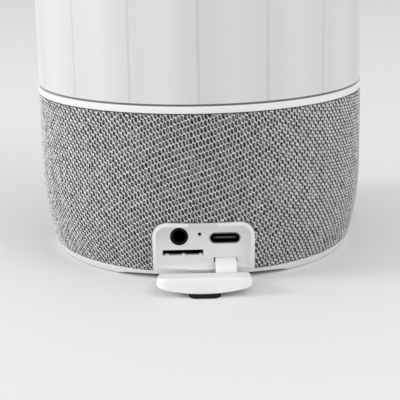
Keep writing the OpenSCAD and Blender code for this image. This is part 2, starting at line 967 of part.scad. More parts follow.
module board_chips() {
  color("darkslategray") {
    on_board(controller_at)
      cube(controller_size);
    on_board(amplifier_at)
      cube(amplifier_size);
    on_board(choke_at)
      cylinder(r = choke_r, h = choke_h, $fn = small_fn);
    on_board(header_at)
      cube(header_size);
  }
}

module board_screws() {
  color("silver")
    for (x = [-1, 1])
      for (y = [-1, 1])
        translate([x * board_post_x, cell_y + y * (holder_half_y + post_gap_y), main_board_z + board_t])
          screw(board_screw_len);
}

// The speaker, which fires away from the port bay
module driver_basket() {
  back = -basket_depth;
  color("darkslategray")
    along_driver(driver_y)
      difference() {
        rotate_extrude($fn = round_fn)
          polygon([
            [driver_r, 0],
            [driver_r, driver_flange_t],
            [driver_hole_r - 1.6, driver_flange_t],
            [magnet_r * 0.85 - 1.2, back + 1.2],
            [coil_r + 0.8, back + 1.2],
            [coil_r + 0.8, back],
            [magnet_r * 0.85, back],
            [driver_hole_r - 0.3, -0.2],
            [driver_hole_r - 0.3, 0]
          ]);
        around(4, driver_screw_ring, 45)
          translate([0, 0, -1])
            cylinder(r = driver_screw_r + slip, h = driver_flange_t + 2, $fn = small_fn);
      }
}

module driver_magnet() {
  color("gray")
    along_driver(driver_y - basket_depth - magnet_t)
      cylinder(r = magnet_r, h = magnet_t, $fn = round_fn);
}

module driver_surround() {
  color("dimgray")
    along_driver(driver_y + driver_flange_t)
      rotate_extrude($fn = round_fn)
        difference() {
          union() {
            intersection() {
              translate([surround_mid, 0])
                circle(surround_w / 2 + 0.1, $fn = small_fn);
              translate([surround_mid - surround_w, 0])
                square([2 * surround_w, surround_w]);
            }
            translate([surround_mid, 0])
              square([driver_screw_ring - driver_head_r - slip - surround_mid, 0.4]);
          }
          translate([surround_mid, -0.1])
            circle(surround_w / 2 - 0.4, $fn = small_fn);
        }
}

module driver_cone() {
  rim = surround_mid - surround_w / 2 + 0.1;
  depth = basket_depth * 0.55;
  color("darkgray")
    along_driver(driver_y + driver_flange_t)
      rotate_extrude($fn = round_fn)
        polygon([
          [cone_inner_r, -depth],
          [cone_inner_r + 0.6, -depth],
          [rim, -0.4],
          [rim, -0.05],
          [rim - 0.5, -0.05]
        ]);
}

module driver_dust_cap() {
  color("gray")
    along_driver(driver_y + driver_flange_t - basket_depth * 0.55)
      rotate_extrude($fn = round_fn)
        intersection() {
          translate([0, -4.5])
            circle(7.9, $fn = round_fn);
          translate([0, 0.1])
            square([cone_inner_r - slip, 6]);
        }
}

module voice_coil() {
  color("peru")
    along_driver(driver_y - basket_depth + slip)
      difference() {
        cylinder(r = coil_r, h = driver_flange_t + basket_depth * 0.45, $fn = round_fn);
        translate([0, 0, -1])
          cylinder(r = coil_r - 0.5, h = basket_depth + 5, $fn = round_fn);
      }
}

module driver_screws() {
  color("silver")
    along_driver(driver_y + driver_flange_t)
      around(4, driver_screw_ring, 45) {
        cylinder(r = driver_head_r, h = screw_head_t, $fn = small_fn);
        translate([0, 0, -driver_screw_len])
          cylinder(r = driver_screw_r, h = driver_screw_len, $fn = small_fn);
      }
}

// The lamp above the deck
module led_board() {
  color("white")
    difference() {
      translate([0, 0, lamp_board_z])
        cylinder(r = lamp_board_r, h = board_t, $fn = round_fn);
      translate([0, 0, lamp_board_z - 1])
        cylinder(r = post_r + 2, h = board_t + 2, $fn = round_fn);
    }
}

module led_lamps() {
  color("khaki")
    around(lamp_count, lamp_ring_r)
      translate([-lamp_w / 2, -lamp_w / 2, lamp_board_z + board_t])
        cube([lamp_w, lamp_w, lamp_h]);
}

module light_post() {
  color("white")
    difference() {
      union() {
        translate([0, 0, fabric_top])
          cylinder(r = post_r, h = post_top - fabric_top, $fn = round_fn);
        translate([0, 0, fabric_top])
          cylinder(r = post_r + post_foot_w, h = lamp_standoff, $fn = round_fn);
        translate([0, 0, post_top - post_plate_t])
          cylinder(r = post_plate_r, h = post_plate_t, $fn = round_fn);
      }
      translate([0, 0, fabric_top - 1])
        cylinder(r = post_r - post_t, h = total_h, $fn = round_fn);
    }
}

module touch_board() {
  color("seagreen")
    translate([0, 0, touch_board_z])
      cylinder(r = touch_board_r, h = board_t, $fn = round_fn);
}

module top_cap() {
  dome_r = (cap_r * cap_r + cap_dome * cap_dome) / (2 * cap_dome);
  color("white") {
    rotate_extrude($fn = round_fn)
      intersection() {
        translate([0, total_h - dome_r])
          circle(dome_r, $fn = round_fn * 2);
        translate([0, cap_flange_z])
          square([cap_r, total_h]);
      }
    translate([0, 0, cap_flange_z])
      cylinder(r = cap_r + 2.5, h = cap_flange_t, $fn = round_fn);
  }
}

// Shade: round outside, upright flat panels moulded on the inside
function shade_outline(inset) = [
  [0, shade_low],
  [shade_r - inset, shade_low],
  for (a = [0:7.5:90])
    [
      shade_r - shoulder_r + (shoulder_r - inset) * cos(a),
      shade_top - shoulder_r + (shoulder_r - inset) * sin(a)
    ],
  [0, shade_top - inset]
];

module lamp_shade() {
  corner_r = shade_r - shade_wall;
  color("ghostwhite")
    difference() {
      rotate_extrude($fn = round_fn)
        polygon(shade_outline(0));
      intersection() {
        translate([0, 0, shade_low - 1])
          linear_extrude(total_h)
            polygon([
              for (i = [0:shade_panels - 1])
                let (a = i * 360 / shade_panels)
                corner_r * [cos(a), sin(a)]
            ]);
        union() {
          rotate_extrude($fn = round_fn)
            polygon(concat([[0, shade_low + 2]], [for (i = [1:len(shade_outline(0)) - 1])
              let (p = shade_outline(shade_top_t)[i])
              [p[0], max(p[1], shade_low + 2)]]));
          translate([0, 0, shade_low - 1])
            cylinder(r = deck_r - 2, h = 4, $fn = round_fn);
        }
      }
      translate([0, 0, shade_top - shade_top_t - 1])
        cylinder(r = cap_r + slip, h = shade_top_t + 2, $fn = round_fn);
    }
}

base_ring();
bottom_cover();
foot_strips();
cover_screws();
radiator_surround();
radiator_plate();
inner_can();
grille_cage();
fabric_sleeve();
rim_band();
seam_gasket();
deck_plate();
deck_screws();
port_panel();
flap_cover();
pull_tab();
flap_strap();
port_board();
audio_jack();
usb_housing();
usb_tongue();
card_socket();
status_led();
battery_holder();
battery_cell();
main_board();
board_chips();
board_screws();
driver_basket();
driver_magnet();
driver_cone();
driver_surround();
driver_dust_cap();
voice_coil();
driver_screws();
led_board();
led_lamps();
light_post();
touch_board();
top_cap();
lamp_shade();
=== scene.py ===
"""Looks for the round speaker lamp: knit, strap, finishes, shade, stage and camera.

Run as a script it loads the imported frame, registers the add-on and calls its operators in order.
"""

import math

import bmesh
import bpy
import numpy as np
from bpy.props import FloatProperty, FloatVectorProperty, IntProperty, PointerProperty
from mathutils import Matrix, Vector


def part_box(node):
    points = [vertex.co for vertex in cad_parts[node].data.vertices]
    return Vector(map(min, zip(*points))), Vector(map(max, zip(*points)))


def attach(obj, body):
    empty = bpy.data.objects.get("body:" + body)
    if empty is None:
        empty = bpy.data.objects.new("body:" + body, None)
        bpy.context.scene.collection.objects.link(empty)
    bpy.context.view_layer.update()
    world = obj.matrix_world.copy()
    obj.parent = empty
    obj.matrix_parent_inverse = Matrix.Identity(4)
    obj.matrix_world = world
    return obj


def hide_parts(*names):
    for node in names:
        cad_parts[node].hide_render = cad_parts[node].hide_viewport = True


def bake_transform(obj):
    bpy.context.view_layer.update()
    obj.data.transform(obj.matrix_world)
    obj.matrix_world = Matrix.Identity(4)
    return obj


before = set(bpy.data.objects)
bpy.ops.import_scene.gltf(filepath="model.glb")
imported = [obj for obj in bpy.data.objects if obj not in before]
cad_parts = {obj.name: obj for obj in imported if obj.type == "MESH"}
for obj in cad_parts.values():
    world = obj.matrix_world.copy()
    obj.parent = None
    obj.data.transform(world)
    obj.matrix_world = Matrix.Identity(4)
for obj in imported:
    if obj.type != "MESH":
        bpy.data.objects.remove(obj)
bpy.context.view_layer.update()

bl_info = {
    "name": "Speaker Lamp Looks",
    "version": (1, 0, 0),
    "blender": (4, 5, 0),
    "location": "3D Viewport > Sidebar > Speaker Lamp",
    "description": "Builds the knit, the strap, the finishes and the stage of a round speaker lamp",
    "category": "Object",
}

MM = 0.001
BODY = "lamp"

# Sharpest bend between two faces that still shades smooth, and the softest edge that is bevelled
SMOOTH_ANGLE = math.radians(32)
BEVEL_ANGLE = math.radians(40)
# Distance below which the loose triangles of a solid are joined
MERGE_DISTANCE = 0.01 * MM


# Settings


class KnitSettings(bpy.types.PropertyGroup):
    """The knitted sleeve's stitch and relief."""

    body_radius: FloatProperty(
        name="Body radius",
        description="Outer radius of the knit above its taper",
        default=50.6 * MM,
        unit="LENGTH",
    )
    taper_height: FloatProperty(
        name="Taper height",
        description="Height below which the knit draws in",
        default=25 * MM,
        unit="LENGTH",
    )
    taper_arc: FloatProperty(
        name="Taper arc",
        description="Radius of the arc by which it draws in",
        default=78 * MM,
        unit="LENGTH",
    )
    low: FloatProperty(
        name="Lower edge",
        description="Height of the knit's lower edge",
        default=2.62 * MM,
        unit="LENGTH",
    )
    high: FloatProperty(
        name="Upper edge",
        description="Height of the knit's upper edge",
        default=49.45 * MM,
        unit="LENGTH",
    )
    columns: IntProperty(
        name="Columns", description="Columns of stitches round the sleeve", default=334, min=60
    )
    rows: IntProperty(
        name="Rows", description="Slanting rows met on one turn", default=142, min=20
    )
    relief: FloatProperty(
        name="Relief",
        description="Depth of the gaps between the threads",
        default=0.34 * MM,
        unit="LENGTH",
    )
    gap_width: FloatProperty(
        name="Gap width", description="Half width of a gap, in millimetres", default=0.38
    )
    gap_height: FloatProperty(
        name="Gap height", description="Half height of a gap, in millimetres", default=0.83
    )
    zigzag: FloatProperty(
        name="Zigzag", description="Bend of the threads between two rows", default=0.5
    )
    inner_tone: FloatProperty(
        name="Inner tone",
        description="Tone of the strands seen in a gap, as a share of the thread's",
        default=0.74,
        min=0.0,
        max=1.0,
        subtype="FACTOR",
    )
    gap_lean: FloatProperty(
        name="Gap lean", description="Sideways lean of a gap for its height", default=0.25
    )


class FinishSettings(bpy.types.PropertyGroup):
    """Colours of the visible pieces."""

    white: FloatVectorProperty(
        name="White plastic",
        description="Colour of the moulded pieces",
        default=(0.80, 0.80, 0.803),
        subtype="COLOR",
        size=3,
    )
    silicone: FloatVectorProperty(
        name="Silicone",
        description="Colour of the cover and its strap",
        default=(0.81, 0.81, 0.81),
        subtype="COLOR",
        size=3,
    )
    thread: FloatVectorProperty(
        name="Thread",
        description="Colour of the knit's threads",
        default=(0.46, 0.465, 0.47),
        subtype="COLOR",
        size=3,
    )
    # The gaps' near black is partly the dark inside seen through the knit, partly painted shade in
    # its holes; it also paints the shadow under the rim band
    gap: FloatVectorProperty(
        name="Gap",
        description="Colour in the knit's gaps",
        default=(0.012, 0.012, 0.012),
        subtype="COLOR",
        size=3,
    )
    floor: FloatVectorProperty(
        name="Floor",
        description="Colour of the floor and backdrop",
        default=(0.758, 0.758, 0.758),
        subtype="COLOR",
        size=3,
    )


class StageSettings(bpy.types.PropertyGroup):
    """Lights and camera."""

    key_power: FloatProperty(
        name="Key light", description="Power of the light at the left", default=6.2, unit="POWER"
    )
    fill_power: FloatProperty(
        name="Fill light", description="Power of the light at the right", default=4.4, unit="POWER"
    )
    sky: FloatProperty(
        name="Sky", description="Brightness of the surroundings as a light", default=0.83
    )
    backdrop: FloatProperty(
        name="Backdrop", description="Brightness of the surroundings as they are seen", default=0.8
    )
    lens: FloatProperty(
        name="Lens", description="Focal length of the camera", default=103.83, unit="CAMERA"
    )
    glow: FloatProperty(
        name="Lamp light", description="Strength of the light emitters, 0 when off", default=0.0
    )


# Node trees


class Wire:
    """A node's output that can be added, scaled and rounded."""

    def __init__(self, graph, socket):
        self.graph = graph
        self.socket = socket

    def _math(self, operation, *others):
        return self.graph.math(operation, self, *others)

    def __add__(self, other):
        return self._math("ADD", other)

    def __sub__(self, other):
        return self._math("SUBTRACT", other)

    def __mul__(self, other):
        return self._math("MULTIPLY", other)

    def __truediv__(self, other):
        return self._math("DIVIDE", other)

    def fract(self):
        return self._math("FRACT")

    def size(self):
        return self._math("ABSOLUTE")

    def floor(self):
        return self._math("FLOOR")

    def nearest(self):
        return self._math("ROUND")

    def power(self, other):
        return self._math("POWER", other)


class Tree:
    """A node tree, with the arithmetic that materials and shapes share."""

    def __init__(self, tree):
        self.tree = tree
        self.places = 0

    def node(self, kind, **settings):
        made = self.tree.nodes.new(kind)
        made.location = (-220 * (1 + self.places // 6), 300 - 160 * (self.places % 6))
        self.places += 1
        for key, value in settings.items():
            setattr(made, key, value)
        return made

    def put(self, socket, value):
        if isinstance(value, Wire):
            self.tree.links.new(value.socket, socket)
        elif socket.type == "RGBA" and len(value) == 3:
            socket.default_value = (*value, 1.0)
        else:
            socket.default_value = value

    def math(self, operation, *values):
        made = self.node("ShaderNodeMath", operation=operation)
        for socket, value in zip(made.inputs, values):
            self.put(socket, value)
        return Wire(self, made.outputs[0])

    def ramp(self, value, low, high, out_low=0.0, out_high=1.0):
        made = self.node("ShaderNodeMapRange", interpolation_type="SMOOTHSTEP")
        for name, given in (
            ("Value", value),
            ("From Min", low),
            ("From Max", high),
            ("To Min", out_low),
            ("To Max", out_high),
        ):
            self.put(made.inputs[name], given)
        return Wire(self, made.outputs["Result"])

    def fade(self, value, low, high):
        """One up to the low value, nought from the high one, and smooth between."""
        return self.ramp(value, low, high, 1.0, 0.0)

    def split(self, vector):
        made = self.node("ShaderNodeSeparateXYZ")
        self.put(made.inputs[0], vector)
        return [Wire(self, socket) for socket in made.outputs]

    def join(self, *parts):
        made = self.node("ShaderNodeCombineXYZ")
        for socket, part in zip(made.inputs, parts):
            self.put(socket, part)
        return Wire(self, made.outputs[0])


class Graph(Tree):
    """A material and its node tree."""

    def __init__(self, name):
        self.material = bpy.data.materials.new(name)
        self.material.use_nodes = True
        super().__init__(self.material.node_tree)
        self.shader = next(n for n in self.tree.nodes if n.type == "BSDF_PRINCIPLED")

    def mix(self, share, a, b):
        made = self.node("ShaderNodeMix", data_type="RGBA")
        self.put(made.inputs["Factor"], share)
        self.put(made.inputs[6], a)
        self.put(made.inputs[7], b)
        return Wire(self, made.outputs[2])

    def place(self):
        made = self.node("ShaderNodeTexCoord")
        return Wire(self, made.outputs["Object"])

    def noise(self, vector, scale, detail=2.0):
        made = self.node("ShaderNodeTexNoise")
        self.put(made.inputs["Vector"], vector)
        self.put(made.inputs["Scale"], scale)
        self.put(made.inputs["Detail"], detail)
        return Wire(self, made.outputs["Fac"])

    def bump(self, height, distance, strength=1.0):
        made = self.node("ShaderNodeBump")
        self.put(made.inputs["Height"], height)
        self.put(made.inputs["Distance"], distance)
        self.put(made.inputs["Strength"], strength)
        return Wire(self, made.outputs[0])

    def drift(self, scale, amount, detail=2.0):
        """Noise that swings about zero."""
        return (self.noise(self.place(), scale, detail) - 0.5) * amount

    def set(self, **values):
        """Sets the shader's inputs, named with underscores for their spaces."""
        for key, value in values.items():
            self.put(self.shader.inputs[key.replace("_", " ")], value)


class Shape(Tree):
    """A geometry node group: geometry and named sizes of given subtypes in, geometry out."""

    def __init__(self, name, sizes, painted=True):
        super().__init__(bpy.data.node_groups.new(name, "GeometryNodeTree"))
        face = self.tree.interface
        face.new_socket("Geometry", in_out="INPUT", socket_type="NodeSocketGeometry")
        for size, subtype in sizes.items():
            made = face.new_socket(size, in_out="INPUT", socket_type="NodeSocketFloat")
            made.subtype = subtype
        if painted:
            face.new_socket("Material", in_out="INPUT", socket_type="NodeSocketMaterial")
        face.new_socket("Geometry", in_out="OUTPUT", socket_type="NodeSocketGeometry")
        source = self.node("NodeGroupInput")
        self.given = {s.name: Wire(self, s) for s in source.outputs if s.name}

    def step(self, kind, geometry, **settings):
        """Adds a node that takes the geometry first, and returns it with its result."""
        made = self.node(kind, **settings)
        self.put(made.inputs[0], geometry)
        return made, Wire(self, made.outputs[0])

    def attribute(self, name):
        made = self.node("GeometryNodeInputNamedAttribute", data_type="FLOAT_VECTOR")
        self.put(made.inputs["Name"], name)
        return Wire(self, made.outputs["Attribute"])

    def close(self, geometry):
        """Ends the tree, with plain geometry in the given material where it takes one."""
        if "Material" in self.given:
            _, geometry = self.step("GeometryNodeRealizeInstances", geometry)
            coat, geometry = self.step("GeometryNodeSetMaterial", geometry)
            self.put(coat.inputs["Material"], self.given["Material"])
        self.put(self.node("NodeGroupOutput").inputs[0], geometry)
        return self.tree


def nodes_on(obj, group, values):
    """Puts a node group on an object, with its inputs set by name."""
    modifier = obj.modifiers.new(group.name, "NODES")
    modifier.node_group = group
    for item in group.interface.items_tree:
        if item.in_out == "INPUT" and item.name in values:
            modifier[item.identifier] = values[item.name]


def grown(mesh, group, values):
    """The plain mesh that a node group makes of another."""
    obj = bpy.data.objects.new(mesh.name, mesh)
    bpy.context.scene.collection.objects.link(obj)
    nodes_on(obj, group, values)
    seen = obj.evaluated_get(bpy.context.evaluated_depsgraph_get())
    made = bpy.data.meshes.new_from_object(seen)
    bpy.data.objects.remove(obj)
    bpy.data.meshes.remove(mesh)
    return made


# Finishes


def tone(colour, factor):
    """A colour made darker or paler."""
    return tuple(min(1.0, factor * part) for part in colour)


def moulded(name, colour, roughness=0.42, grain=0.01, coat=0.0, gloss=0.5):
    """Moulded plastic or silicone with a fine grain."""
    g = Graph(name)
    grit = g.noise(g.place(), scale=2600.0, detail=3.0)
    g.set(Base_Color=colour, Roughness=roughness, Coat_Weight=coat, Specular_IOR_Level=gloss)
    g.set(Normal=g.bump(grit, distance=grain * MM))
    return g.material


def metal(name, colour, roughness=0.3, stretch=(40.0, 900.0, 900.0)):
    """Brushed metal, streaked along X."""
    g = Graph(name)
    mapping = g.node("ShaderNodeMapping")
    g.put(mapping.inputs["Vector"], g.place())
    g.put(mapping.inputs["Scale"], stretch)
    streak = g.noise(Wire(g, mapping.outputs[0]), scale=3.0)
    g.set(Base_Color=colour, Metallic=1.0)
    g.set(Roughness=g.ramp(streak, 0.3, 0.7, roughness - 0.06, roughness + 0.08))
    return g.material


def socket_metal(name, colour, mouth):
    """Stamped metal with painted shade that darkens it behind the plane of a socket's mouth."""
    g = Graph(name)
    depth = g.split(g.place())[1]
    # Painted shade: the metal turns near black deeper inside than the socket's mouth
    recess_shade = g.ramp(depth, mouth + 0.1 * MM, mouth + 0.7 * MM)
    dark = (0.012, 0.012, 0.012)
    g.set(Base_Color=g.mix(recess_shade, colour, dark), Metallic=0.9, Roughness=0.32)
    return g.material


def tongue(name, middle):
    """Black insulator with a painted highlight: a thin grey line half way up its front."""
    g = Graph(name)
    x, _, z = g.split(g.place())
    # Painted highlight: a thin band at the middle height, only across the tongue's width
    high = g.fade((z - middle.z).size(), 0.08 * MM, 0.2 * MM)
    wide = g.fade((x - middle.x).size(), 2.4 * MM, 2.9 * MM)
    black, painted_highlight = (0.006, 0.006, 0.006), (0.11, 0.11, 0.11)
    g.set(Base_Color=g.mix(high * wide, black, painted_highlight), Roughness=0.6)
    return g.material


def circuit(name):
    """Solder mask over faint copper tracks."""
    g = Graph(name)
    brick = g.node("ShaderNodeTexBrick")
    g.put(brick.inputs["Vector"], g.place())
    for key, value in (
        ("Scale", 260.0),
        ("Mortar Size", 0.03),
        ("Color1", (0.02, 0.16, 0.07)),
        ("Color2", (0.025, 0.19, 0.09)),
        ("Mortar", (0.05, 0.30, 0.14)),
    ):
        g.put(brick.inputs[key], value)
    g.set(Base_Color=Wire(g, brick.outputs["Color"]), Roughness=0.35, Coat_Weight=0.3)
    return g.material


def glowing(name, colour, strength):
    """Phosphor of a light emitter, with a fine speckle."""
    g = Graph(name)
    speck = g.noise(g.place(), scale=900.0)
    g.set(Base_Color=g.mix(speck, colour, tone(colour, 0.8)), Roughness=0.4)
    g.set(Emission_Color=colour, Emission_Strength=strength)
    return g.material


# Panels inside the shade, how far their seams are turned as a share of a panel, and the heights
# between which the seams fade out
SHADE_PANELS = 16
SEAM_TURN = 0.03
SEAM_FADE = 168 * MM
SEAM_END = 176 * MM


def frosted(name):
    """Frosted shade, with soft seams where its inner panels meet."""
    g = Graph(name)
    x, y, z = g.split(g.place())
    panel = g.math("ARCTAN2", x, y * -1.0) / (2 * math.pi / SHADE_PANELS)
    off = ((panel + 0.5 + SEAM_TURN).fract() - 0.5).size()
    seam = g.fade(off, 0.010, 0.030)
    body = g.mix(g.ramp(off, 0.05, 0.5), (0.66, 0.66, 0.66), (0.70, 0.70, 0.705))
    side = g.fade(z, SEAM_FADE, SEAM_END)
    g.set(Base_Color=g.mix(seam * side * 0.34, body, (0.44, 0.44, 0.44)), Roughness=0.4)
    g.set(Subsurface_Weight=0.5, Subsurface_Radius=(1.0, 1.0, 1.0), Subsurface_Scale=1.0 * MM)
    g.set(Coat_Weight=0.12, Coat_Roughness=0.25)
    return g.material


# Stitches met on a millimetre: columns round the sleeve, columns lost upwards, and rows upwards
KNIT_COLUMN = 1.0495
KNIT_SHEAR = 0.09
KNIT_ROW = 0.56


def in_stitch(fc, fr, slope):
    """Millimetres sideways and up from a gap's middle, for shares of a column and of a row."""
    det = slope * -KNIT_SHEAR + KNIT_ROW * KNIT_COLUMN
    return (fc * KNIT_ROW + fr * KNIT_SHEAR) / det, (fc * slope + fr * KNIT_COLUMN) / det


# Depth of the shadow under the rim band, and how far it is ragged from stitch to stitch
TUCK_DEPTH = 0.42 * MM
TUCK_FADE = 0.30 * MM
TUCK_RAGGED = 0.30 * MM


def knitted(name, knit, finish):
    """Open knit: threads round leaning gaps, on the sleeve's own stitch map."""
    g = Graph(name)
    uv = g.node("ShaderNodeUVMap", uv_map="stitches")
    column, row, _ = g.split(Wire(g, uv.outputs[0]))
    slope = Wire(g, g.node("ShaderNodeAttribute", attribute_name="row_slope").outputs["Fac"])
    # Each stitch strays a little, so that no two columns or rows are alike
    sway = g.drift(scale=700.0, amount=0.55)
    lift = g.drift(scale=1100.0, amount=0.40)
    fc = (column + sway + 0.5).fract() - 0.5
    fr = (row + lift + 0.5).fract() - 0.5
    dx, dz = in_stitch(fc, fr, slope)
    # Three random numbers for each stitch, from the whole column and row that it lies in
    cell = g.join((column + sway - fc + 0.25).floor(), (row + lift - fr + 0.25).floor())
    white = g.node("ShaderNodeTexWhiteNoise", noise_dimensions="2D")
    g.put(white.inputs["Vector"], cell)
    luck, hue, twist = g.split(Wire(g, white.outputs["Color"]))
    # The gap: a leaning, rounded block between zigzag threads
    dz = dz + (fc.size() - 0.25) * knit.zigzag
    wide = (luck * 0.3 + 0.85) * knit.gap_width
    across = ((dx + dz * knit.gap_lean) / wide).size()
    along = (dz / knit.gap_height).size()
    far = (across.power(3.0) + along.power(3.0)).power(0.333)
    gap = g.fade(far, 0.86, 1.06)
    # Strands of the inner layer that show in some of the gaps
    strands = g.drift(scale=1900.0, amount=2.0, detail=1.0) + (twist - 0.5) * 0.3
    core = g.fade(far + strands, 0.20, 0.46) * (hue * 0.8 + 0.2)
    # Gaps without strands keep the near black gap colour: painted shade over the dark inside
    gap_tone = g.mix(core, finish.gap, tone(finish.thread, knit.inner_tone))
    # Threads, with a painted highlight where they cross between two gaps, and dulled by fuzz
    between = g.ramp(along, 0.85, 1.1)
    thread = g.mix(between, tone(finish.thread, 1.16), tone(finish.thread, 1.8))
    fuzz = g.ramp(g.noise(g.place(), scale=2600.0), 0.35, 0.65)
    thread = g.mix(fuzz * 0.25, thread, tone(finish.thread, 0.5))
    # The threads sink into shadow where the sleeve is tucked under the rim band
    ragged = (luck - 0.5) * TUCK_RAGGED + g.split(g.place())[2]
    shadow = knit.high - TUCK_DEPTH
    tucked = g.ramp(ragged, shadow, shadow + TUCK_FADE)
    thread = g.mix(tucked * 0.8, thread, finish.gap)
    g.set(Base_Color=g.mix(gap, thread, gap_tone), Roughness=0.9)
    height = (gap * -1.0 + 1.0) + fuzz * 0.25
    g.set(Normal=g.bump(height, distance=0.16 * MM, strength=0.8))
    return g.material


# Knitted sleeve

# Rows met on a millimetre round the sleeve: at the middle of the port side, what that gains
# further round, and over how many millimetres
SLOPE_MIDDLE = 0.1896
SLOPE_GAIN = 0.30
SLOPE_WIDTH = 26.0

# Cells of the sleeve's grid on one column of stitches, and their height in millimetres
CELLS_PER_COLUMN = 3
CELL_HEIGHT = 0.5
# Corners of a cell, anticlockwise from outside: steps up, then steps round
CELL_CORNERS = ((0, 0), (0, 1), (1, 1), (1, 0))

# Outline of the hole for the port panel, in millimetres: half width, top and corner radius
PORT_HALF = 14.85
PORT_TOP = 18.15
PORT_CORNER = 4.75

# Shares of a gap's size at which its floor ends and its rim begins
GAP_FLOOR = 0.6
GAP_RIM = 1.3

# Width of the sleeve's edges that are turned in
HEM = 0.7 * MM


def body_at(knit, z):
    """Outer radius of the knit at a height, in millimetres."""
    r, t, arc = (v / MM for v in (knit.body_radius, knit.taper_height, knit.taper_arc))
    drop = np.clip(t - z, 0, None)
    return r - arc + np.sqrt(arc * arc - drop * drop)


def row_slope(s):
    """Rows met on a millimetre, at s millimetres round from the middle of the port side."""
    return SLOPE_MIDDLE + SLOPE_GAIN * (1 - np.exp(-((s / SLOPE_WIDTH) ** 2)))


def row_phase(s):
    """Rows met on the way there: the integral of row_slope."""
    erf = np.vectorize(math.erf)
    bent = SLOPE_WIDTH * math.sqrt(math.pi) / 2 * erf(s / SLOPE_WIDTH)
    return SLOPE_MIDDLE * s + SLOPE_GAIN * (s - bent)


def relief_group():
    """Node group that presses the knit's gaps in between its threads."""
    sizes = {"Relief": "DISTANCE", "Gap Width": "NONE", "Gap Height": "NONE", "Gap Lean": "FACTOR"}
    g = Shape("KnitRelief", sizes)
    column, row, slope = g.split(g.attribute("stitch"))
    dx, dz = in_stitch(column - column.nearest(), row - row.nearest(), slope)
    across = (dx + dz * g.given["Gap Lean"]) / g.given["Gap Width"]
    up = dz / g.given["Gap Height"]
    far = (across * across + up * up).power(0.5)
    deep = g.fade(far, GAP_FLOOR, GAP_RIM) * g.given["Relief"]
    x, y, z = g.split(Wire(g, g.node("GeometryNodeInputPosition").outputs[0]))
    kept = deep / (x * x + y * y).power(0.5) * -1.0 + 1.0
    moved, sleeve = g.step("GeometryNodeSetPosition", g.given["Geometry"])
    g.put(moved.inputs["Position"], g.join(x * kept, y * kept, z))
    dropped, sleeve = g.step("GeometryNodeRemoveAttribute", sleeve)
    g.put(dropped.inputs["Name"], "stitch")
    return g.close(sleeve)


def beyond_port(x, z):
    """Signed distance outside the port panel's outline, and the way out of it."""
    px = np.abs(x) - (PORT_HALF - PORT_CORNER)
    pz = z - (PORT_TOP - PORT_CORNER)
    bent = (px > 0) & (pz > 0)
    away = np.hypot(px, pz)
    distance = np.where(bent, away, np.where(px > pz, px, pz)) - PORT_CORNER
    nx = np.where(bent, px / np.maximum(away, 1e-9), (px > pz) * 1.0) * np.sign(x)
    nz = np.where(bent, pz / np.maximum(away, 1e-9), (px <= pz) * 1.0)
    return distance, nx, nz


def stitch_grid(knit):
    """Grid over the sleeve: the column, row and row slope of each point, its turn and height."""
    low, high = knit.low / MM, knit.high / MM
    heights = np.linspace(low, high, int(round((high - low) / CELL_HEIGHT)) + 1)
    steps = np.arange(knit.columns * CELLS_PER_COLUMN + 1)
    column, z = np.meshgrid(steps / CELLS_PER_COLUMN - knit.columns / 2, heights)
    s = (column + KNIT_SHEAR * z) / KNIT_COLUMN
    theta = s * 2 * math.pi * KNIT_COLUMN / knit.columns
    whole = knit.columns / KNIT_COLUMN
    wrapped = (s + whole / 2) % whole - whole / 2
    row = KNIT_ROW * z - row_phase(wrapped) - np.round((s - wrapped) / whole) * knit.rows
    return column, row, row_slope(wrapped), theta, z


def corner_points(cells):
    """Marks the grid points at the corners of the marked cells."""
    tall, long = cells.shape
    marked = np.zeros((tall + 1, long + 1), bool)
    for up, on in CELL_CORNERS:
        marked[up : up + tall, on : on + long] |= cells
    return marked


def plain_sleeve(knit):
    """The sleeve without its relief, cut out round the port panel, with the stitch map on it."""
    column, row, slope, theta, z = stitch_grid(knit)
    x = body_at(knit, z) * np.sin(theta)
    distance, nx, nz = beyond_port(x, z)
    outside = (distance > 0) | (np.cos(theta) <= 0)
    keep = outside[:-1, :-1] & outside[1:, :-1] & outside[:-1, 1:] & outside[1:, 1:]
    # The points nearest to the port panel move onto its outline
    edge = corner_points(~keep) & outside
    z = np.where(edge, z - distance * nz, z)
    x = np.where(edge, x - distance * nx, x)
    radius = body_at(knit, z)
    turn = np.where(edge, np.arcsin(np.clip(x / radius, -1, 1)), theta)
    points = np.stack([radius * np.sin(turn), -radius * np.cos(turn), z], -1) * MM
    # The last column of points is the first, once round
    used = corner_points(keep)
    used[:, -1] = False
    index = np.cumsum(used.ravel()).reshape(used.shape) - 1
    index[:, -1] = index[:, 0]
    i, j = np.nonzero(keep)
    corners = [(i + up, j + on) for up, on in CELL_CORNERS]
    faces = np.stack([index[corner] for corner in corners], -1)
    mesh = bpy.data.meshes.new("knit_sleeve")
    mesh.from_pydata(points[used].tolist(), [], faces.tolist())
    uv = mesh.uv_layers.new(name="stitches")
    flat = np.stack([np.stack([column[at], row[at]], -1) for at in corners], 1)
    uv.data.foreach_set("uv", flat.astype(np.float32).ravel())
    climb = mesh.attributes.new("row_slope", "FLOAT", "POINT")
    climb.data.foreach_set("value", slope[used].astype(np.float32))
    stitch = mesh.attributes.new("stitch", "FLOAT_VECTOR", "POINT")
    here = np.stack([column[used], row[used], slope[used]], -1)
    stitch.data.foreach_set("vector", here.astype(np.float32).ravel())
    return mesh


def knit_sleeve(knit, material):
    """The sleeve's mesh: a relief of threads and gaps, with its edges turned in."""
    sizes = {
        "Relief": knit.relief,
        "Gap Width": knit.gap_width,
        "Gap Height": knit.gap_height,
        "Gap Lean": knit.gap_lean,
    }
    mesh = grown(plain_sleeve(knit), relief_group(), {**sizes, "Material": material})
    turn_edges_in(mesh, HEM)
    soften(mesh)
    return mesh


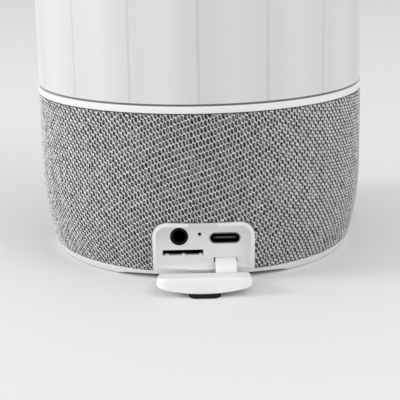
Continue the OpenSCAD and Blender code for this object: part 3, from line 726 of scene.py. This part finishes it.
def turn_edges_in(mesh, depth):
    """Folds a sleeve's free edges towards its axis."""
    bm = bmesh.new()
    bm.from_mesh(mesh)
    made = bmesh.ops.extrude_edge_only(bm, edges=[e for e in bm.edges if e.is_boundary])
    for vert in (v for v in made["geom"] if isinstance(v, bmesh.types.BMVert)):
        reach = math.hypot(vert.co.x, vert.co.y)
        vert.co.x *= (reach - depth) / reach
        vert.co.y *= (reach - depth) / reach
    bm.to_mesh(mesh)
    bm.free()


# Strap

# Millimetres, in the side view: Y first, then Z
STRAP_X, STRAP_Z = 6.35, 5.8
STRAP_WIDTH, STRAP_THICK, STRAP_CORNER = 6.1, 1.0, 0.28
STRAP_STEPS = 26
# Front and back of the bay's wall
WALL_Y, WALL_BACK = -45.3, -44.1
# Back edge of the open cover: how far out from the wall, and how high
HANG_OUT, HANG_Z = 3.7, 2.9
OPEN_ANGLE = math.radians(78)
# Where the strap ends in the cover, from that edge: along the cover, and off it
FOOT_ALONG, FOOT_OFF = 1.2, 0.05
# Reach of the curve's two handles, from the wall and from the cover
WALL_REACH, FOOT_REACH = 2.3, 2.1
# Anchor block behind the wall: its middle behind the wall's back, depth and added width
ANCHOR_PLACE, ANCHOR_DEPTH, ANCHOR_MARGIN = 0.65, 0.9, 1.6
# The strap's straight part inside the wall, from the wall's back: its start and its end
LEAD_START, LEAD_END = 0.2, -0.5


def strap_line():
    """The strap's curve in the side view, from the wall to the open cover: four control points."""
    inward = Vector((-math.sin(OPEN_ANGLE), math.cos(OPEN_ANGLE)))
    normal = Vector((math.cos(OPEN_ANGLE), math.sin(OPEN_ANGLE)))
    edge = Vector((WALL_Y - HANG_OUT, HANG_Z))
    foot = edge + inward * FOOT_ALONG + normal * FOOT_OFF
    wall = Vector((WALL_Y, STRAP_Z))
    return [wall, wall - Vector((WALL_REACH, 0)), foot + normal * FOOT_REACH, foot]


def strap_group():
    """Node group that sweeps a rounded section along a line and adds the anchor block."""
    sizes = ("Width", "Thickness", "Corner", "Anchor Depth", "Anchor Margin")
    g = Shape("StrapSweep", dict.fromkeys(sizes, "DISTANCE"))
    given = g.given
    _, path = g.step("GeometryNodeMeshToCurve", given["Geometry"])
    flat = g.node("GeometryNodeCurvePrimitiveQuadrilateral")
    g.put(flat.inputs["Width"], given["Width"])
    g.put(flat.inputs["Height"], given["Thickness"])
    rounded, section = g.step("GeometryNodeFilletCurve", Wire(g, flat.outputs[0]), mode="POLY")
    g.put(rounded.inputs["Radius"], given["Corner"])
    g.put(rounded.inputs["Count"], 3)
    swept, band = g.step("GeometryNodeCurveToMesh", path)
    g.put(swept.inputs["Profile Curve"], section)
    g.put(swept.inputs["Fill Caps"], True)
    block = g.node("GeometryNodeMeshCube")
    wide = given["Width"] + given["Anchor Margin"]
    g.put(block.inputs["Size"], g.join(wide, given["Anchor Depth"], given["Thickness"] * 2.0))
    placed, anchor = g.step("GeometryNodeTransform", Wire(g, block.outputs[0]))
    spot = Vector((STRAP_X, WALL_BACK + ANCHOR_PLACE, STRAP_Z)) * MM
    g.put(placed.inputs["Translation"], spot)
    both = g.node("GeometryNodeJoinGeometry")
    for piece in (anchor, band):
        g.put(both.inputs[0], piece)
    return g.close(Wire(g, both.outputs[0]))


def strap_mesh(material):
    """A rounded band along the strap's line, and its anchor behind the wall."""
    a, b, c, d = strap_line()
    line = [Vector((WALL_BACK + y, STRAP_Z)) for y in (LEAD_START, LEAD_END)]
    for i in range(STRAP_STEPS + 1):
        t = i / STRAP_STEPS
        u = 1 - t
        line.append(u**3 * a + 3 * t * u * u * b + 3 * t * t * u * c + t**3 * d)
    mesh = bpy.data.meshes.new("strap")
    points = [Vector((STRAP_X, spot.x, spot.y)) * MM for spot in line]
    mesh.from_pydata(points, [(i, i + 1) for i in range(len(points) - 1)], [])
    sizes = {
        "Width": STRAP_WIDTH * MM,
        "Thickness": STRAP_THICK * MM,
        "Corner": STRAP_CORNER * MM,
        "Anchor Depth": ANCHOR_DEPTH * MM,
        "Anchor Margin": ANCHOR_MARGIN * MM,
    }
    mesh = grown(mesh, strap_group(), {**sizes, "Material": material})
    soften(mesh)
    return mesh


# Shared helpers


def show(name, mesh, material, body=None):
    """Puts a mesh in the scene as an object at the origin."""
    obj = bpy.data.objects.new(name, mesh)
    bpy.context.scene.collection.objects.link(obj)
    mesh.materials.clear()
    mesh.materials.append(material)
    if body:
        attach(obj, body)
    return obj


def paint(material, *nodes):
    """Gives CAD nodes a material."""
    for name in nodes:
        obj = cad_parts[name]
        obj.data.materials.clear()
        obj.data.materials.append(material)


def soften(mesh):
    """Smooth shading on every face."""
    mesh.polygons.foreach_set("use_smooth", [True] * len(mesh.polygons))


def smoothing_group():
    """Node group that joins loose triangles and smooths shading below an angle."""
    made = bpy.data.node_groups.get("SmoothBelowAngle")
    if made:
        return made
    g = Shape("SmoothBelowAngle", {"Distance": "DISTANCE", "Angle": "ANGLE"}, painted=False)
    merged, solid = g.step("GeometryNodeMergeByDistance", g.given["Geometry"])
    g.put(merged.inputs["Distance"], g.given["Distance"])
    _, solid = g.step("GeometryNodeSetShadeSmooth", solid)
    edges, solid = g.step("GeometryNodeSetShadeSmooth", solid, domain="EDGE")
    bend = Wire(g, g.node("GeometryNodeInputMeshEdgeAngle").outputs[0])
    g.put(edges.inputs["Shade Smooth"], g.math("LESS_THAN", bend, g.given["Angle"]))
    return g.close(solid)


def smooth(*nodes, bevel=0.0, segments=3):
    """Smooth shading on CAD nodes, and softened edges where a width is given."""
    for name in nodes:
        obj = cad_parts[name]
        nodes_on(obj, smoothing_group(), {"Distance": MERGE_DISTANCE, "Angle": SMOOTH_ANGLE})
        if bevel:
            soft = obj.modifiers.new("Edges", "BEVEL")
            soft.width = bevel
            soft.segments = segments
            soft.limit_method = "ANGLE"
            soft.angle_limit = BEVEL_ANGLE
            flats = obj.modifiers.new("Flats", "WEIGHTED_NORMAL")
            flats.keep_sharp = True


# Operators


class LAMP_OT_knit(bpy.types.Operator):
    """Knits the sleeve round the base"""

    bl_idname = "lamp.knit"
    bl_label = "Knit Sleeve"

    def execute(self, context):
        knit, finish = context.scene.lamp_knit, context.scene.lamp_finish
        fabric = knitted("knitted fabric", knit, finish)
        sleeve = show("knit_sleeve", knit_sleeve(knit, fabric), fabric, BODY)
        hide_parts("fabric_sleeve")
        return {"FINISHED"}


class LAMP_OT_strap(bpy.types.Operator):
    """Makes the strap that bends between the wall and the cover"""

    bl_idname = "lamp.strap"
    bl_label = "Bend Strap"

    def execute(self, context):
        white = moulded("soft silicone strap", context.scene.lamp_finish.silicone, 0.5)
        strap = show("strap", strap_mesh(white), white)
        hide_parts("flap_strap")
        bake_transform(strap)
        return {"FINISHED"}


class LAMP_OT_casing(bpy.types.Operator):
    """Finishes the ring, rim band, port panel and cover"""

    bl_idname = "lamp.casing"
    bl_label = "Finish Casing"

    def execute(self, context):
        finish = context.scene.lamp_finish
        paint(moulded("white plastic", finish.white), "base_ring", "rim_band", "port_panel")
        paint(moulded("white cover", finish.silicone, 0.46), "flap_cover")
        smooth("port_panel", bevel=0.16 * MM)
        smooth("flap_cover", bevel=0.3 * MM, segments=4)
        smooth("base_ring", "rim_band")
        # The gasket's dark grey is partly its rubber, partly painted shade for the groove between
        # the rim band and the shade
        paint(moulded("seam rubber", (0.22, 0.22, 0.22), 0.6), "seam_gasket")
        # Near black: the feet's dark rubber, and on the pull tab also painted shade under the open
        # cover
        rubber = moulded("dark rubber", (0.013, 0.013, 0.013), 0.65, gloss=0.08)
        paint(rubber, "foot_strips", "pull_tab")
        return {"FINISHED"}


class LAMP_OT_sockets(bpy.types.Operator):
    """Finishes the sockets in the port bay"""

    bl_idname = "lamp.sockets"
    bl_label = "Finish Sockets"

    def execute(self, context):
        paint(moulded("black socket", (0.006, 0.006, 0.006), 0.5, gloss=0.12), "audio_jack")
        paint(socket_metal("socket shell", (0.20, 0.20, 0.205), WALL_Y * MM), "usb_housing")
        paint(socket_metal("card socket", (0.10, 0.10, 0.10), WALL_BACK * MM), "card_socket")
        low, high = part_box("usb_tongue")
        paint(tongue("socket tongue", (Vector(low) + Vector(high)) / 2), "usb_tongue")
        paint(moulded("status light", (0.03, 0.03, 0.03), 0.3), "status_led")
        smooth("audio_jack", "usb_housing")
        return {"FINISHED"}


class LAMP_OT_shade(bpy.types.Operator):
    """Finishes the shade and the touch cap"""

    bl_idname = "lamp.shade"
    bl_label = "Finish Shade"

    def execute(self, context):
        paint(frosted("frosted shade"), "lamp_shade")
        paint(moulded("touch cap", context.scene.lamp_finish.white, 0.36), "top_cap")
        paint(moulded("light post", (0.8, 0.8, 0.8)), "light_post")
        glow = context.scene.lamp_stage.glow
        paint(glowing("light emitter", (0.90, 0.80, 0.35), glow), "led_lamps")
        paint(moulded("lamp board", (0.80, 0.80, 0.80), 0.5), "led_board")
        smooth("lamp_shade", "top_cap", "light_post")
        return {"FINISHED"}


class LAMP_OT_insides(bpy.types.Operator):
    """Finishes the pieces inside the base"""

    bl_idname = "lamp.insides"
    bl_label = "Finish Insides"

    def execute(self, context):
        grey = moulded("inner plastic", (0.18, 0.18, 0.185), 0.55)
        paint(grey, "inner_can", "deck_plate", "battery_holder")
        # The bottom cover's near black is painted shade for the gap under the base ring's arch
        paint(moulded("bottom plastic", (0.012, 0.012, 0.012), 0.7, gloss=0.1), "bottom_cover")
        paint(moulded("cage plastic", (0.05, 0.05, 0.05), 0.6), "grille_cage")
        screws = ("cover_screws", "deck_screws", "board_screws", "driver_screws")
        paint(metal("screw steel", (0.55, 0.55, 0.56)), *screws)
        paint(circuit("solder mask"), "port_board", "main_board", "touch_board")
        paint(moulded("chip black", (0.02, 0.02, 0.02), 0.35), "board_chips")
        paint(moulded("cell wrap", (0.04, 0.16, 0.40), 0.25, coat=0.5), "battery_cell")
        paint(moulded("basket paint", (0.03, 0.03, 0.03), 0.4), "driver_basket")
        paint(metal("ferrite", (0.12, 0.12, 0.12), 0.5), "driver_magnet")
        paper = moulded("cone paper", (0.05, 0.05, 0.05), 0.8, grain=0.05)
        paint(paper, "driver_cone", "driver_dust_cap")
        roll = moulded("roll rubber", (0.03, 0.03, 0.03), 0.5)
        paint(roll, "driver_surround", "radiator_surround")
        paint(metal("coil wire", (0.72, 0.40, 0.20), 0.35), "voice_coil")
        paint(metal("radiator plate", (0.55, 0.55, 0.56), 0.35), "radiator_plate")
        return {"FINISHED"}


class LAMP_OT_stage(bpy.types.Operator):
    """Builds the floor, backdrop, lights and camera"""

    bl_idname = "lamp.stage"
    bl_label = "Build Stage"

    def execute(self, context):
        scene, stage = context.scene, context.scene.lamp_stage
        build_sweep(scene.lamp_finish.floor)
        build_lights(stage)
        build_sky(scene, stage.sky, stage.backdrop)
        build_camera(scene, stage.lens)
        scene.view_settings.view_transform = "Standard"
        return {"FINISHED"}


# Stage


# Paper sweep, in metres: its front edge, where it starts to bend and the bend's radius, its top
# and half its width
SWEEP_FRONT = -2.2
SWEEP_BEND = 0.9
SWEEP_RADIUS = 0.5
SWEEP_TOP = 2.4
SWEEP_HALF = 2.6


def build_sweep(colour):
    """Paper sweep: a floor that curves up far behind the lamp."""
    rows = [(SWEEP_FRONT, 0.0), (SWEEP_BEND, 0.0)]
    for a in range(10, 91, 10):
        r = math.radians(a)
        rise = SWEEP_RADIUS - SWEEP_RADIUS * math.cos(r)
        rows.append((SWEEP_BEND + SWEEP_RADIUS * math.sin(r), rise))
    rows.append((SWEEP_BEND + SWEEP_RADIUS, SWEEP_TOP))
    points = [(x, y, z) for y, z in rows for x in (-SWEEP_HALF, SWEEP_HALF)]
    faces = [(2 * i, 2 * i + 1, 2 * i + 3, 2 * i + 2) for i in range(len(rows) - 1)]
    mesh = bpy.data.meshes.new("sweep")
    mesh.from_pydata(points, [], faces)
    soften(mesh)
    sweep = show("sweep", mesh, moulded("paper sweep", colour, 0.75, 0.0))


def add_area(name, place, target, size, power):
    """Adds a square light that faces a target."""
    light = bpy.data.lights.new(name, "AREA")
    light.size = size
    light.energy = power
    obj = bpy.data.objects.new(name, light)
    bpy.context.scene.collection.objects.link(obj)
    obj.location = place
    obj.rotation_euler = (Vector(target) - Vector(place)).to_track_quat("-Z", "Y").to_euler()


def build_lights(stage):
    """A small light at the left and a broad one at the right, places and sizes in metres."""
    add_area(
        "key", place=(-1.1, -0.15, 0.5), target=(0.0, 0.0, 0.04), size=0.3, power=stage.key_power
    )
    add_area(
        "fill", place=(0.75, -0.65, 1.0), target=(0.0, 0.0, 0.05), size=0.8, power=stage.fill_power
    )


def build_sky(scene, light, seen_as):
    """Pale surroundings, whose light and whose look to the camera and in mirrors are set apart."""
    world = bpy.data.worlds.new("surroundings")
    scene.world = world
    world.use_nodes = True
    g = Tree(world.node_tree)
    path = g.node("ShaderNodeLightPath")
    seen = Wire(g, path.outputs["Is Camera Ray"])
    for kind in ("Is Glossy Ray", "Is Transmission Ray"):
        seen = g.math("MAXIMUM", seen, Wire(g, path.outputs[kind]))
    back = g.tree.nodes["Background"]
    g.put(back.inputs["Color"], (1.0, 1.0, 1.0))
    g.put(back.inputs["Strength"], seen * (seen_as - light) + light)


# The photograph's viewpoint: its place, and its turn in radians
EYE = (-2.54 * MM, -363.77 * MM, 107.77 * MM)
PITCH, YAW, ROLL = 0.258459, 0.0055, -0.019062
SENSOR_WIDTH = 36.0


def build_camera(scene, lens):
    """The camera at the photograph's viewpoint, in the row frame."""
    level = math.cos(PITCH)
    ahead = Vector((math.sin(YAW) * level, math.cos(YAW) * level, -math.sin(PITCH)))
    right = Vector((math.cos(YAW), -math.sin(YAW), 0))
    up = right.cross(ahead)
    turned = right * math.cos(ROLL) + up * math.sin(ROLL)
    raised = up * math.cos(ROLL) - right * math.sin(ROLL)
    data = bpy.data.cameras.new("camera")
    data.lens = lens
    data.sensor_width = SENSOR_WIDTH
    data.clip_start, data.clip_end = 0.01, 20
    obj = bpy.data.objects.new("camera", data)
    scene.collection.objects.link(obj)
    turn = Matrix((turned, raised, -ahead)).transposed()
    obj.matrix_world = Matrix.Translation(EYE) @ turn.to_4x4()
    scene.camera = obj


# Panel and registration


class LAMP_PT_looks(bpy.types.Panel):
    """Sidebar panel of the speaker lamp"""

    bl_label = "Speaker Lamp"
    bl_idname = "LAMP_PT_looks"
    bl_space_type = "VIEW_3D"
    bl_region_type = "UI"
    bl_category = "Speaker Lamp"

    def draw(self, context):
        for title, group in (
            ("Knit", context.scene.lamp_knit),
            ("Finishes", context.scene.lamp_finish),
            ("Stage", context.scene.lamp_stage),
        ):
            box = self.layout.box()
            box.label(text=title)
            for name in group.__annotations__:
                box.prop(group, name)
        for step in STEPS:
            self.layout.operator(f"lamp.{step}")


STEPS = ("knit", "strap", "casing", "sockets", "shade", "insides", "stage")

CLASSES = (
    KnitSettings,
    FinishSettings,
    StageSettings,
    LAMP_OT_knit,
    LAMP_OT_strap,
    LAMP_OT_casing,
    LAMP_OT_sockets,
    LAMP_OT_shade,
    LAMP_OT_insides,
    LAMP_OT_stage,
    LAMP_PT_looks,
)


def register():
    for cls in CLASSES:
        bpy.utils.register_class(cls)
    bpy.types.Scene.lamp_knit = PointerProperty(type=KnitSettings)
    bpy.types.Scene.lamp_finish = PointerProperty(type=FinishSettings)
    bpy.types.Scene.lamp_stage = PointerProperty(type=StageSettings)


def unregister():
    del bpy.types.Scene.lamp_stage
    del bpy.types.Scene.lamp_finish
    del bpy.types.Scene.lamp_knit
    for cls in reversed(CLASSES):
        bpy.utils.unregister_class(cls)


def main():
    register()
    for step in STEPS:
        getattr(bpy.ops.lamp, step)()


if __name__ == "__main__":
    main()
